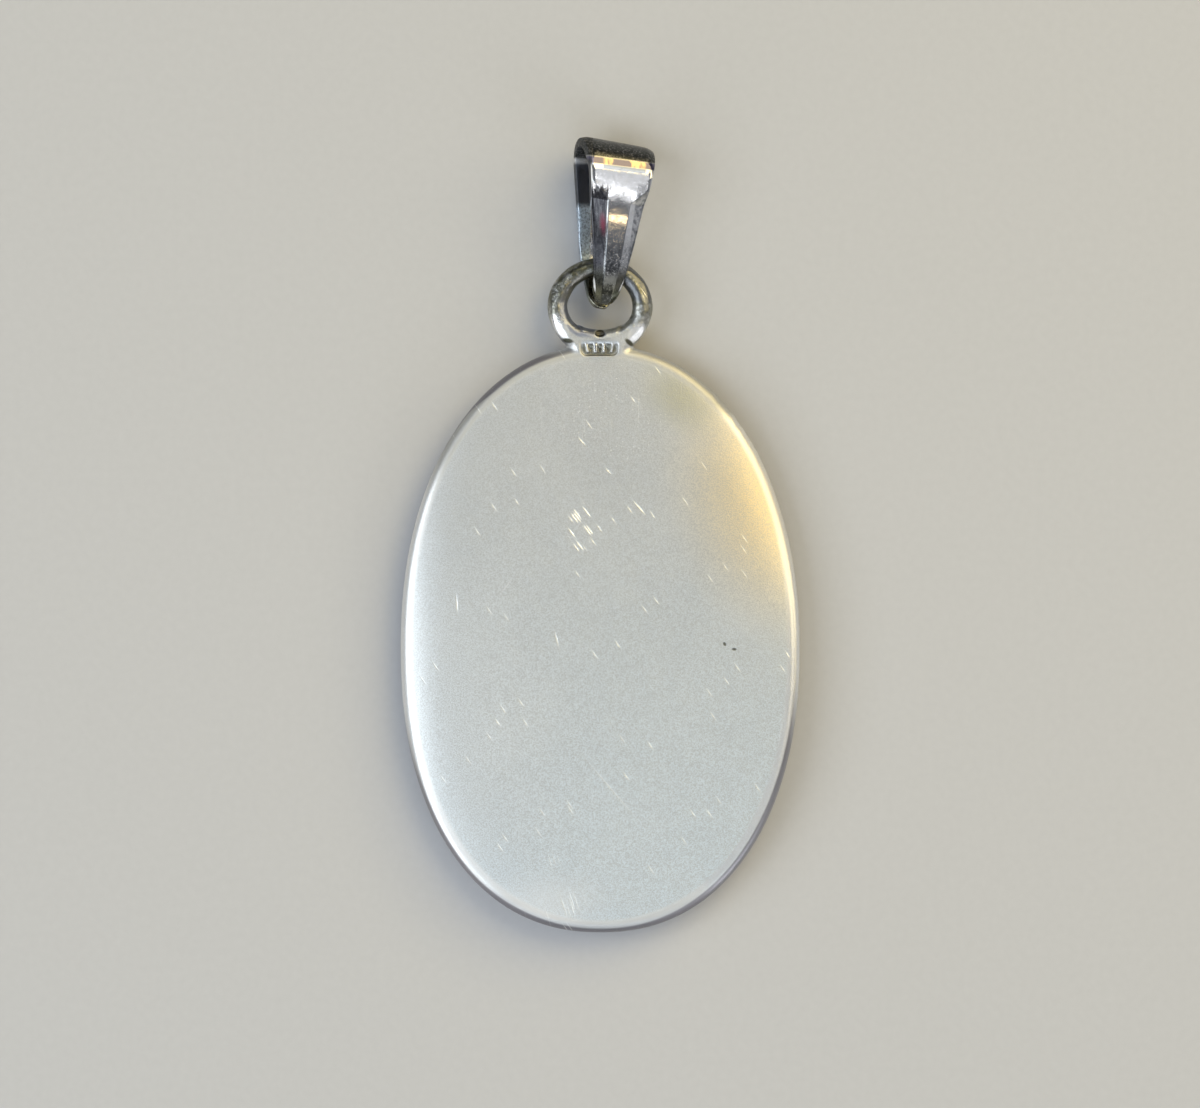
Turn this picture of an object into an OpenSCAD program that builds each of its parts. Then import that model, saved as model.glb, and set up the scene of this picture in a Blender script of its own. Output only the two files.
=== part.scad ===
// Oval silver pendant lying face down: a thick oval plate with a soldered ring, and a folded bail
// X runs across the oval, Y from the oval to the bail, and Z up from the resting face to the back
// The origin is the middle of the oval, on the surface that the pendant lies on

/* [Plate] */
// Width of the oval at its widest line
plate_w = 20; // [16:0.5:26]
// Height of the oval from its lower end to its upper end
plate_h = 29.4; // [26:0.2:36]
// Thickness from the resting face to the back
plate_t = 2.25; // [2.2:0.05:2.3]
// How far the widest line lies below the middle of the oval
waist_drop = 0.45; // [0:0.05:1.5]
// Squareness of the upper half, where 2 is an ellipse and more is squarer
upper_power = 2.13; // [2:0.01:2.5]
// Squareness of the lower half
lower_power = 2.22; // [2:0.01:2.5]
// Width of the rolled edge on the back
back_roll_w = 0.45; // [0.2:0.05:1.3]
// Height of the rolled edge on the back
back_roll_h = 0.4; // [0.2:0.05:0.7]
// Width of the rolled edge on the resting side
front_roll_w = 1.6; // [0.8:0.1:2.5]
// Height of the rolled edge on the resting side
front_roll_h = 0.9; // [0.4:0.05:1]

/* [Ring] */
// Width of the ring from outside to outside
ring_w = 5.3; // [5:0.1:6]
// Height of the ring from outside to outside
ring_h = 4.9; // [4.6:0.1:5.2]
// Thickness of the ring's wire
wire_d = 1.05; // [0.8:0.05:1.1]
// How far the ring's lower end reaches into the plate's upper end
ring_sink = 0.5; // [0.3:0.05:0.7]
// How far the wire stands above the back
wire_proud = 0.05; // [0.03:0.01:0.1]
// Half width of the solder foot on the plate
foot_base = 1.6; // [1.3:0.1:2]
// Half width of the solder foot at the ring's hole
foot_top = 0.9; // [0.6:0.1:1.1]
// How far the solder foot fills the ring's hole from below
foot_fill = 0.25; // [0.1:0.05:0.4]
// Depth of the solder foot below the back
foot_t = 0.9; // [0.6:0.1:1.2]
// How far the filed foot stands above the back
foot_proud = 0.02; // [0.01:0.005:0.02]

/* [Mark recess] */
// Width of the sunk field under the ring
mark_w = 1.9; // [1.4:0.1:2.4]
// Height of the sunk field
mark_h = 0.8; // [0.6:0.05:1]
// Depth of the sunk field
mark_depth = 0.09; // [0.05:0.01:0.2]
// Number of plain bars left standing in the field
mark_bars = 4; // [2:1:5]

/* [Bail] */
// Length of the bail from its joined end to its fold
bail_l = 8.5; // [8.2:0.1:9.5]
// Depth of the bail from leg to leg
bail_depth = 3.4; // [3.3:0.05:3.6]
// Width of the strip at the joined end
bail_tip_w = 1.12; // [1:0.02:1.4]
// Width of the strip at the fold
bail_fold_w = 3.75; // [3:0.05:4.2]
// Thickness of the strip
bail_t = 0.35; // [0.3:0.05:0.4]
// Length over which the legs open from the joined end to the full depth
leg_run = 3.5; // [3.2:0.1:3.8]
// Width of the bevel along each long edge of the strip
bevel_w = 0.42; // [0.2:0.02:0.44]
// Height of that bevel
bevel_h = 0.12; // [0.05:0.01:0.15]
// How far the fold is out of square, in degrees
fold_skew = 4.5; // [0:0.5:8]

/* [Bail on the ring] */
// How far the ring's wire lies inside the joined end
wire_seat = 2.15; // [2.1:0.05:2.4]
// How far the bail sits to the right of the ring's middle
bail_shift = 0.24; // [0:0.02:0.4]
// How far the bail leans to the right, in degrees
bail_lean = 5; // [0:0.5:8]
// How far the bail is rolled on its long axis, in degrees
bail_roll = 16.5; // [14:0.5:18]
// Gap between the lowest edge of the bail and the surface below
rest_gap = 0.02; // [0.01:0.01:0.06]

/* [Hidden] */

// Points round the oval, and steps over each rolled edge
outline_steps = 96;
roll_steps = 6;
// Points along the ring's wire, and round it
ring_steps = 72;
wire_steps = 20;
// How far a cutting shape runs past the surface that it cuts
cut_over = 1;

half_w = plate_w / 2;
upper_reach = plate_h / 2 + waist_drop;
lower_reach = plate_h / 2 - waist_drop;

wire_r = wire_d / 2;
wire_z = plate_t + wire_proud - wire_r;
ring_mid_y = plate_h / 2 - ring_sink + ring_h / 2;
ring_half_x = ring_w / 2 - wire_r;
ring_half_y = ring_h / 2 - wire_r;
// The solder foot starts a little inside the flat of the back
foot_inset = 0.3;
foot_low_y = plate_h / 2 - back_roll_w - foot_inset;
foot_high_y = ring_mid_y - ring_half_y + wire_r + foot_fill;

// The sunk field starts on the solder foot, a little above the plate's upper end
field_rise = 0.2;
field_top_y = plate_h / 2 + field_rise;
field_low_y = field_top_y - mark_h;
field_corner_r = mark_h * 0.45;
bar_pitch = mark_w / (mark_bars + 1);
bar_w = bar_pitch * 0.4;
bar_l = mark_h * 0.6;
bar_rise = mark_depth / 2;
// How far each bar reaches down into the metal below it
bar_root = 0.1;

// Distances along the bail are measured from its joined end
fold_r = bail_depth / 2;
fold_u = bail_l - fold_r;
tip_r = bail_tip_w * 0.54;
plan_reach = bail_l * 1.2;
hollow_start = bail_t * 0.8;
leg_steps = 18;
fold_steps = 22;
width_slope = (bail_fold_w - bail_tip_w) / bail_l;
// The bail is pitched so that the lower long edge of its rolled leg lies level
bail_pitch = atan(width_slope / 2 * sin(bail_roll));
seat_half_w = strip_w(wire_seat) / 2;
edge_reach = (fold_r - bevel_h) * cos(bail_roll) + seat_half_w * sin(bail_roll);
face_reach = fold_r * cos(bail_roll) + (seat_half_w - bevel_w) * sin(bail_roll);
bail_z = rest_gap + max(edge_reach, face_reach) * cos(bail_pitch);
bail_on_wire_y = ring_mid_y + ring_half_y * sqrt(1 - (bail_shift / ring_half_x) ^ 2);

// One point of the oval, drawn in by a given distance, at a given turn round it
function oval_point(turn, inset) =
    let (
        upper = sin(turn) >= 0,
        power = upper ? upper_power : lower_power,
        reach = (upper ? upper_reach : lower_reach) - inset,
        side = half_w - inset
    )
    [
        side * sign(cos(turn)) * abs(cos(turn)) ^ (2 / power),
        reach * sign(sin(turn)) * abs(sin(turn)) ^ (2 / power) - waist_drop
    ];

// A whole turn of the oval at one height
function oval_ring(inset, z) = [
    for (i = [0 : outline_steps - 1])
        let (p = oval_point(360 * i / outline_steps, inset))
        [p.x, p.y, z]
];

// Half the depth of the closed bail at a distance from its joined end
function leg_h(u) =
    bail_t + (fold_r - bail_t) * sin(90 * min(u / leg_run, 1));

// Width of the strip at a distance from the joined end
function strip_w(u) = bail_tip_w + width_slope * u;

// Outline of the closed bail seen from its side, as distance from the joined end and depth
function bail_side() =
    let (
        leg = [for (i = [0 : leg_steps]) let (u = fold_u * i / leg_steps) [u, leg_h(u)]],
        fold = [
            for (i = [1 : fold_steps - 1])
                let (a = 180 * i / fold_steps)
                [fold_u + fold_r * sin(a), fold_r * cos(a)]
        ],
        back = [for (i = [leg_steps : -1 : 0]) [leg[i].x, -leg[i].y]]
    )
    concat(leg, fold, back);

// Outward direction of the side outline at one of its points
function side_normal(line, i) =
    let (
        last = len(line) - 1,
        a = line[max(i - 1, 0)],
        b = line[min(i + 1, last)],
        d = b - a
    )
    [-d.y, d.x] / norm(d);

// Outline of the space inside the bail, one strip's thickness inside the outer one
function hollow_side() =
    let (line = bail_side())
    concat(
        [[hollow_start, 0]],
        [for (i = [1 : len(line) - 2]) line[i] - bail_t * side_normal(line, i)]
    );

// Joins closed rings of points, one above the other, into the skin of a solid
function skin_faces(rings, around) = concat(
    [[for (i = [0 : around - 1]) i]],
    [
        for (r = [0 : rings - 2], i = [0 : around - 1])
            let (
                j = (i + 1) % around,
                low = r * around,
                high = low + around
            )
            [low + i, high + i, high + j, low + j]
    ],
    [[for (i = [around - 1 : -1 : 0]) (rings - 1) * around + i]]
);

// Joins closed sections of points into the skin of a closed loop
function loop_faces(sections, around) = [
    for (r = [0 : sections - 1], i = [0 : around - 1])
        let (
            j = (i + 1) % around,
            near = r * around,
            far = ((r + 1) % sections) * around
        )
        [near + i, near + j, far + j, far + i]
];

module oval_plate() {
    front = [
        for (i = [0 : roll_steps])
            let (a = 90 * i / roll_steps)
            oval_ring(front_roll_w * (1 - sin(a)), front_roll_h * (1 - cos(a)))
    ];
    back = [
        for (i = [roll_steps : -1 : 0])
            let (a = 90 * i / roll_steps)
            oval_ring(back_roll_w * (1 - sin(a)), plate_t - back_roll_h * (1 - cos(a)))
    ];
    levels = concat(front, back);
    polyhedron(
        points = [for (level = levels, p = level) p],
        faces = skin_faces(len(levels), outline_steps),
        convexity = 4
    );
}

module soldered_ring() {
    sections = [
        for (i = [0 : ring_steps - 1])
            let (
                turn = 360 * (i + 0.5) / ring_steps,
                mid = [ring_half_x * cos(turn), ring_half_y * sin(turn)],
                side = [ring_half_y * cos(turn), ring_half_x * sin(turn)],
                out = side / norm(side)
            )
            [
                for (j = [0 : wire_steps - 1])
                    let (a = 360 * j / wire_steps, p = mid + out * wire_r * cos(a))
                    [p.x, p.y, wire_r * sin(a)]
            ]
    ];
    translate([0, ring_mid_y, wire_z])
        polyhedron(
            points = [for (section = sections, p = section) p],
            faces = loop_faces(ring_steps, wire_steps),
            convexity = 6
        );
}

module solder_foot() {
    translate([0, 0, plate_t - foot_t])
        linear_extrude(foot_t + cut_over / 2)
            polygon([
                [-foot_base, foot_low_y],
                [foot_base, foot_low_y],
                [foot_top, foot_high_y],
                [-foot_top, foot_high_y]
            ]);
}

module file_cut() {
    translate([-foot_base - foot_fill, foot_low_y - foot_fill, plate_t + foot_proud])
        cube([2 * (foot_base + foot_fill), foot_high_y - foot_low_y + 2 * foot_fill, cut_over]);
}

module mark_field() {
    translate([0, field_low_y, plate_t - mark_depth])
        linear_extrude(cut_over)
            union() {
                translate([-mark_w / 2, field_corner_r])
                    square([mark_w, mark_h - field_corner_r]);
                translate([-mark_w / 2 + field_corner_r, 0])
                    square([mark_w - 2 * field_corner_r, field_corner_r]);
                for (side = [-1, 1])
                    translate([side * (mark_w / 2 - field_corner_r), field_corner_r])
                        circle(r = field_corner_r, $fn = 32);
            }
}

module mark_bar_row() {
    for (i = [1 : mark_bars])
        translate([
            i * bar_pitch - mark_w / 2 - bar_w / 2,
            field_low_y + (mark_h - bar_l) / 2,
            plate_t - mark_depth - bar_root
        ])
            cube([bar_w, bar_l, bar_root + bar_rise]);
}

module plate_and_ring() {
    color("gainsboro")
        union() {
            difference() {
                union() {
                    oval_plate();
                    soldered_ring();
                    solder_foot();
                }
                file_cut();
                mark_field();
            }
            mark_bar_row();
        }
}

module bail_skin(side, columns) {
    skewed = [
        for (column = columns, p = column)
            [p.x, p.y - tan(fold_skew) * p.x, p.z]
    ];
    polyhedron(points = skewed, faces = skin_faces(len(columns), len(side)), convexity = 4);
}

module bail_block() {
    side = bail_side();
    edge = [
        for (i = [0 : len(side) - 1])
            side[i] - bevel_h * side_normal(side, i)
    ];
    bail_skin(side, [
        [for (p = edge) [strip_w(p.x) / 2, p.x, p.y]],
        [for (p = side) [strip_w(p.x) / 2 - bevel_w, p.x, p.y]],
        [for (p = side) [bevel_w - strip_w(p.x) / 2, p.x, p.y]],
        [for (p = edge) [-strip_w(p.x) / 2, p.x, p.y]]
    ]);
}

module bail_hollow() {
    side = hollow_side();
    bail_skin(side, [
        [for (p = side) [bail_fold_w, p.x, p.y]],
        [for (p = side) [-bail_fold_w, p.x, p.y]]
    ]);
}

module bail_plan() {
    translate([0, 0, -bail_depth])
        linear_extrude(2 * bail_depth)
            union() {
                translate([0, tip_r])
                    circle(r = tip_r, $fn = 32);
                polygon([
                    [-tip_r, tip_r],
                    [tip_r, tip_r],
                    [bail_fold_w, plan_reach],
                    [-bail_fold_w, plan_reach]
                ]);
            }
}

module bail() {
    color("silver")
        translate([bail_shift, bail_on_wire_y, bail_z])
            rotate([0, 0, -bail_lean])
                rotate([bail_pitch, 0, 0])
                    rotate([0, bail_roll, 0])
                        translate([0, -wire_seat, 0])
                            difference() {
                                intersection() {
                                    bail_block();
                                    bail_plan();
                                }
                                bail_hollow();
                            }
}

plate_and_ring();
bail();
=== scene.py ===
# Looks of an oval silver pendant that lies face down: satin back, soldered ring and folded bail
import math
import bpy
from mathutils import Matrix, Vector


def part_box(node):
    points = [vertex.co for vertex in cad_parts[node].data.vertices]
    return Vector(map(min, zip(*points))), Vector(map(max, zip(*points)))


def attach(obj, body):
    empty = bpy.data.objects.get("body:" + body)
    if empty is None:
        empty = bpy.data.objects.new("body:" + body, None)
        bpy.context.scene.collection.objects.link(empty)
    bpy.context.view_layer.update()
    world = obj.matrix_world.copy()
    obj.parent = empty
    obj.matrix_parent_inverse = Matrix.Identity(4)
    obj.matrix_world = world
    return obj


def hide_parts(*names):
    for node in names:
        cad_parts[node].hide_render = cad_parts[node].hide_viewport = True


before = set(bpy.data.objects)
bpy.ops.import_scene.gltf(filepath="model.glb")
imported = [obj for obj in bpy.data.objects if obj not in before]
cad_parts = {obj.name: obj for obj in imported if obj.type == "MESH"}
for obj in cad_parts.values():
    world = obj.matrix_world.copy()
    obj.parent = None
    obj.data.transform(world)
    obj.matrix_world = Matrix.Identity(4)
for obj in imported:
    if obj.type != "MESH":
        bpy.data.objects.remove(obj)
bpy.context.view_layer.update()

from types import SimpleNamespace

import bpy
import numpy as np
from mathutils import Matrix, Vector

# Sizes are in millimetres until a mesh is made, in the frame's own axes
MM = 0.001
plate_low, plate_high = (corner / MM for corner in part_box("plate_and_ring"))

# The oval plate
HALF_W = plate_high.x
LOW_Y = plate_low.y
WAIST_DROP = 0.45
UPPER_REACH = WAIST_DROP - LOW_Y
LOWER_REACH = -LOW_Y - WAIST_DROP
UPPER_POWER = 2.13
LOWER_POWER = 2.22
PLATE_T = 2.25
BACK_ROLL_W = 0.45
BACK_ROLL_H = 0.4
FRONT_ROLL_W = 1.6
FRONT_ROLL_H = 0.9
EDGE_MID_Z = 1.3

# Where the back is worn lower towards its edge: direction, spread, width and drop
CROWNS = (
    (math.radians(185), math.radians(46), 2.6, 0.25),
    (math.radians(195), math.radians(50), 7.0, 0.14),
    (math.radians(38), math.radians(31), 5.2, 0.30),
    (math.radians(38), math.radians(24), 2.4, 0.14),
)
# The drop's curve goes on a little past the edge, up to this limit
CROWN_LIMIT = 1.3

# The rough stretch of edge at the upper right, and the nick in it
ROUGH_TURN = math.radians(60)
ROUGH_SPREAD = math.radians(9)
ROUGH_DEPTH = 0.012
ROUGH_INWARD = 2.6
ROUGH_WAVES = ((71, 0), (113, 2), (47, 1))
NICK = (7.03, 10.62, PLATE_T - 0.03)
NICK_R = 0.13
NICK_STRETCH = 1.3

# The ring and its solder foot
RING_MID_Y = 16.65
RING_HALF_X = 2.125
RING_HALF_Y = 1.92
WIRE_R = 0.52
WIRE_Z = plate_high.z - 0.525
WIRE_WEAR = 0.05
FOOT_LOW_Y = 13.9
FOOT_HIGH_Y = 15.48
FOOT_HOLLOW = 0.16
FOOT_BASE = 1.7
FOOT_TOP = 0.95
FOOT_T = 0.9
FOOT_BLEND = 0.2
SOLDER_BLEND = 0.3
# Relief on the wire, which is thinner than the solid's by an allowance for it
WIRE_ALLOWANCE = 0.017
SOLDER_SWELL = 0.06
SOLDER_FROM = (0.25, 0.85)
RIPPLE = 0.005
RIPPLE_WAVES = ((7, 1), (11, 2.4))
WIRE_FACET = 0.007
WIRE_FACETS = 5
FACET_WANDER = 4
FACET_WAVES = ((2, 0.6),)
# Flats filed on the ring's shoulders: direction, tilt from level, and how far out from its middle
RING_FLATS = (
    (math.radians(-42), math.radians(33), 1.585),
    (math.radians(-146), math.radians(31), 1.555),
    (math.radians(158), math.radians(27), 1.41),
    (math.radians(28), math.radians(24), 1.31),
)
FLAT_BLEND = 0.015
# The level that foot and ring are filed to, where the ring rises out of it, and the file's soft edge
FILED_Z = PLATE_T + 0.003
FILE_RUNOUT = (15.5, 17.2)
FILE_SOFTENS = (14.2, 15.8)
FILE_BLEND = 0.004
FILE_SOFT_BLEND = 0.06

# The sunk field with its plain bars, and the pit above it
FIELD_X = -0.03
FIELD_Y = 14.56
FIELD_HALF_W = 0.93
FIELD_HALF_H = 0.39
FIELD_CORNER = 0.3
FIELD_TOP_CORNER = 0.06
FIELD_DEPTH = 0.11
FIELD_RISE = 1.2
STAMP_BLEND = 0.05
BAR_HALF_H = 0.24
BAR_ROOT = 0.3
BAR_DEPTH = 0.005
BAR_BLEND = 0.02
# Each bar's place from the field's middle, half width and lean
BARS = ((-0.62, 0.07, -0.2), (-0.2, 0.1, 0.0), (0.22, 0.07, 0.0), (0.64, 0.06, 0.2))
# The pit's middle, half width, half height and depth
PIT = (0.01, 15.28, 0.26, 0.17, 0.15)
DENT_BLEND = 0.03

# The bail, along its own length u from the joined end, across it, and out from its middle plane
BAIL_L = 8.5
BAIL_DEPTH = 3.4
BAIL_TIP_W = 1.12
BAIL_FOLD_W = 3.75
BAIL_T = 0.35
BAIL_FOLD_T = 0.55
LEG_RUN = 3.5
LEG_BLEND = 0.2
LEG_BLEND_FROM = (1.2, 3.5)
FOLD_SKEW = math.radians(4.5)
FOLD_R = BAIL_DEPTH / 2
FOLD_U = BAIL_L - FOLD_R
WIDTH_SLOPE = (BAIL_FOLD_W - BAIL_TIP_W) / BAIL_L
UPPER_TIP_U = 0.22
UPPER_BULGE = 0.018
# Where the strip thickens, and how much its outer face is set back for wear
THICKENS = (3.2, 5.2)
WORN_AWAY = 0.014
# Points along each leg and round the fold, and how they crowd towards the tips
LEG_POINTS = 130
FOLD_POINTS = 60
CROWDING = 1.15
# The facet along each side of a leg: its share of the leg's width, its slope, and how much further in
# the inner face lies there. It ends before the fold, and fades over a length
UPPER_FACET = (0.31, 0.5, 0.1)
LOWER_FACET = (0.2, 0.2, 0.0)
FACET_FIT = 0.97
FACET_DEEPEST = 0.75
FACET_END = 0.45
FACET_FADE = 0.9
FACE_SINK = 0.04
# The points across half a section, which crowd at the ridge between face and facet, and the turns in
# degrees of the points round its outer and inner edges
FACE_POINTS = 16
FACET_POINTS = 8
INNER_POINTS = 9
RIDGE_NEAR = 0.012
RIDGE_WIDE = 0.03
RIDGE_ROOM = 0.08
EDGE_TURNS = (25, 50, 75)
INNER_TURNS = (0, 30, 60, 90)
# Round corners of the tip seen from above, and the tip's rounding seen from its side
TIP_R = 0.6
TIP_LEAST = 0.12
TIP_EDGE_R = 0.15
TIP_EDGE_LEAST = 0.3
TIP_SINK = 0.8
# The strip's edges, and what wear at the fold adds to them
EDGE_R = 0.06
EDGE_R_SHARE = 0.3
INNER_EDGE_R = 0.04
EDGE_W = 0.2
EDGE_DROP = 0.06
EDGE_CURVE = 1.6
EDGE_WALL = 0.02
CROWN = 0.03
WEAR_W = 0.22
WEAR_DROP = 0.06
WEAR_CROWN = -0.02
WEAR_FROM = (0.2, 1.2)
# Up to where each leg keeps to its own side of the middle plane, and by how much
JOINED_U = 6
JOINED_GAP = 0.004

# The bail's seat on the ring's wire, how it leans and rolls there, and the bevel that it rests on
WIRE_SEAT = 2.15
BAIL_SHIFT = 0.24
BAIL_LEAN = math.radians(5)
BAIL_ROLL = math.radians(16.5)
SEAT_HALF_Y = 1.925
REST_GAP = 0.02
BEVEL_H = 0.12
BEVEL_W = 0.42

# The photo's framing: 20 pixels to the millimetre at the back, with the view's middle at y 4.25
VIEW_Y = 4.25
VIEW_HEIGHT = 240
FRAME_W = 60
SENSOR_W = 36


def new_object(name, data):
    made = bpy.data.objects.new(name, data)
    bpy.context.scene.collection.objects.link(made)
    return made


# Camera


def make_camera():
    data = bpy.data.cameras.new("camera")
    data.sensor_width = SENSOR_W
    data.lens = SENSOR_W * (VIEW_HEIGHT - PLATE_T) / FRAME_W
    data.clip_start = 0.01
    data.clip_end = 10
    camera = new_object("camera", data)
    camera.location = Vector((0, VIEW_Y, VIEW_HEIGHT)) * MM
    bpy.context.scene.camera = camera


# Shapes as signed distances: below zero is metal

FAR = 9.0
TINY = 1e-6
LEAST_BLEND = 0.001


def smooth_min(a, b, blend):
    """Joins two shapes with a fillet as wide as blend."""
    h = np.clip(0.5 + 0.5 * (b - a) / blend, 0, 1)
    return b + (a - b) * h - blend * h * (1 - h)


def smooth_max(a, b, blend):
    """Keeps what two shapes share, rounded as wide as blend."""
    return -smooth_min(-a, -b, blend)


def smooth_step(x, low, high):
    t = np.clip((x - low) / (high - low), 0, 1)
    return t * t * (3 - 2 * t)


def waves(turn, parts):
    """A sum of waves round a full turn, each given by its count and its start."""
    return sum(np.sin(count * turn + start) for count, start in parts)


def turned_from(turn, towards):
    return np.abs((turn - towards + math.pi) % (2 * math.pi) - math.pi)


def half_oval(upper):
    """The power and reach of the oval's upper and lower halves."""
    return np.where(upper, UPPER_POWER, LOWER_POWER), np.where(upper, UPPER_REACH, LOWER_REACH)


def oval_inset(x, y):
    """How far points lie inside the oval's edge, seen from above."""
    power, reach = half_oval(y >= -WAIST_DROP)
    u = np.abs(x) / HALF_W
    v = np.abs(y + WAIST_DROP) / reach
    size = np.maximum((u**power + v**power) ** (1 / power), TINY)
    slope = np.hypot(u ** (power - 1) / HALF_W, v ** (power - 1) / reach) * size ** (1 - power)
    return (1 - size) / np.maximum(slope, TINY)


def ellipse_distance(a, b, half_a, half_b):
    """How far points lie outside an ellipse."""
    near = np.hypot(a / half_a, b / half_b)
    steep = np.maximum(np.hypot(a / half_a**2, b / half_b**2), TINY)
    return near * (near - 1) / steep


def rolled_edge(inset, z, width, height):
    """A flat at z 0 that rolls off over width and height to an upright wall at inset 0."""
    a = np.maximum(width - inset, 0)
    b = np.maximum(z + height, 0)
    roll = ellipse_distance(a, b, width, height)
    return np.where(a <= 0, z, np.where(b <= 0, -inset, roll))


def foot_plan(x, y):
    """Distance from the solder foot's outline, seen from above."""
    share = np.clip((y - FOOT_LOW_Y) / (FOOT_HIGH_Y - FOOT_LOW_Y), 0, 1)
    half_w = FOOT_BASE + (FOOT_TOP - FOOT_BASE) * share
    high_y = FOOT_HIGH_Y + FOOT_HOLLOW * x**2
    return np.maximum(np.abs(x) - half_w, np.maximum(FOOT_LOW_Y - y, y - high_y))


def back_wear(x, y, inset):
    """How far the back is worn down, more towards its edge."""
    turn = np.arctan2(y, x)
    drop = np.zeros(np.shape(x))
    for towards, spread, width, depth in CROWNS:
        share = np.exp(-((turned_from(turn, towards) / spread) ** 2))
        drop = drop + depth * share * np.clip(1 - inset / width, 0, CROWN_LIMIT) ** 3
    return drop


def plate_shape(x, y, z):
    """The tablet, whose back carries on level over the solder foot."""
    inset = oval_inset(x, y)
    turn = np.arctan2(y, x)
    rough = np.exp(-((turned_from(turn, ROUGH_TURN) / ROUGH_SPREAD) ** 2))
    inset = inset - ROUGH_DEPTH * (rough * waves(turn, ROUGH_WAVES) + ROUGH_INWARD * rough)
    joined = -smooth_min(-inset, foot_plan(x, y), SOLDER_BLEND)
    level = z - PLATE_T + back_wear(x, y, inset)
    back = rolled_edge(joined, level, BACK_ROLL_W, BACK_ROLL_H)
    front = rolled_edge(inset, -z, FRONT_ROLL_W, FRONT_ROLL_H)
    tablet = np.where(z > EDGE_MID_Z, rolled_edge(inset, level, BACK_ROLL_W, BACK_ROLL_H), front)
    foot = smooth_max(back, PLATE_T - FOOT_T - z, FOOT_BLEND)
    return np.minimum(tablet, foot)


def ring_shape(x, y, z):
    """A loop of round wire, worn thin at its top and thick with solder at its foot."""
    up = y - RING_MID_Y
    turn = np.arctan2(up, x)
    aside = ellipse_distance(x, up, RING_HALF_X, RING_HALF_Y)
    wear = WIRE_WEAR * np.clip(np.sin(turn), 0, 1) ** 3
    solder = SOLDER_SWELL * smooth_step(-np.sin(turn), *SOLDER_FROM)
    around = np.arctan2(z - WIRE_Z, aside)
    ripple = RIPPLE * waves(turn, RIPPLE_WAVES)
    facets = WIRE_FACET * np.sin(WIRE_FACETS * around + FACET_WANDER * waves(turn, FACET_WAVES))
    radius = WIRE_R - WIRE_ALLOWANCE - wear + solder + ripple + facets
    wire = np.hypot(aside - wear, z - WIRE_Z) - radius
    for towards, tilt, reach in RING_FLATS:
        outwards = x * math.cos(towards) + up * math.sin(towards)
        level = math.sin(tilt) * outwards + math.cos(tilt) * (z - WIRE_Z)
        wire = smooth_max(wire, level - reach, FLAT_BLEND)
    return wire


def field_cut(x, y, z):
    """The space of the sunk field, whose lower corners are round and whose floor rises to its top."""
    rise = y - FIELD_Y
    corner = np.where(rise < 0, FIELD_CORNER, FIELD_TOP_CORNER)
    a = np.abs(x - FIELD_X) - FIELD_HALF_W + corner
    b = np.abs(rise) - FIELD_HALF_H + corner
    outside = np.hypot(np.maximum(a, 0), np.maximum(b, 0))
    outline = outside + np.minimum(np.maximum(a, b), 0) - corner
    depth = FIELD_DEPTH * (1 - FIELD_RISE * smooth_step(rise, 0.0, FIELD_HALF_H))
    return smooth_max(outline, PLATE_T - depth - z, STAMP_BLEND)


def field_bars(x, y, z):
    """The plain upright bars left standing in the field."""
    bars = np.full(np.shape(x), FAR)
    rise = y - FIELD_Y
    for place, half_w, lean in BARS:
        aside = np.abs(x - FIELD_X - place - lean * rise) - half_w
        bars = np.minimum(bars, np.maximum(aside, np.abs(rise) - BAR_HALF_H))
    from_ends = np.maximum(z - PLATE_T + BAR_DEPTH, PLATE_T - BAR_ROOT - z)
    return smooth_max(bars, from_ends, STAMP_BLEND)


def dent(x, y, z, centre, half_w, half_h, depth):
    """An egg-shaped space for a pit or a nick."""
    cx, cy, cz = centre
    near = np.sqrt(((x - cx) / half_w) ** 2 + ((y - cy) / half_h) ** 2 + ((z - cz) / depth) ** 2)
    return (near - 1) * min(half_w, half_h, depth)


def pendant_shape(x, y, z):
    """Plate, ring and solder as one piece of metal, filed at the foot and stamped."""
    metal = smooth_min(plate_shape(x, y, z), ring_shape(x, y, z), SOLDER_BLEND)
    file_z = FILED_Z + (plate_high.z - FILED_Z) * smooth_step(y, *FILE_RUNOUT)
    metal = smooth_max(metal, z - file_z, FILE_BLEND + FILE_SOFT_BLEND * smooth_step(y, *FILE_SOFTENS))
    pit_x, pit_y, half_w, half_h, depth = PIT
    for space in (
        field_cut(x, y, z),
        dent(x, y, z, (pit_x, pit_y, FILED_Z), half_w, half_h, depth),
        dent(x, y, z, NICK, NICK_R, NICK_STRETCH * NICK_R, NICK_R),
    ):
        metal = smooth_max(metal, -space, DENT_BLEND)
    return smooth_min(metal, field_bars(x, y, z), BAR_BLEND)


# Meshes


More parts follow.
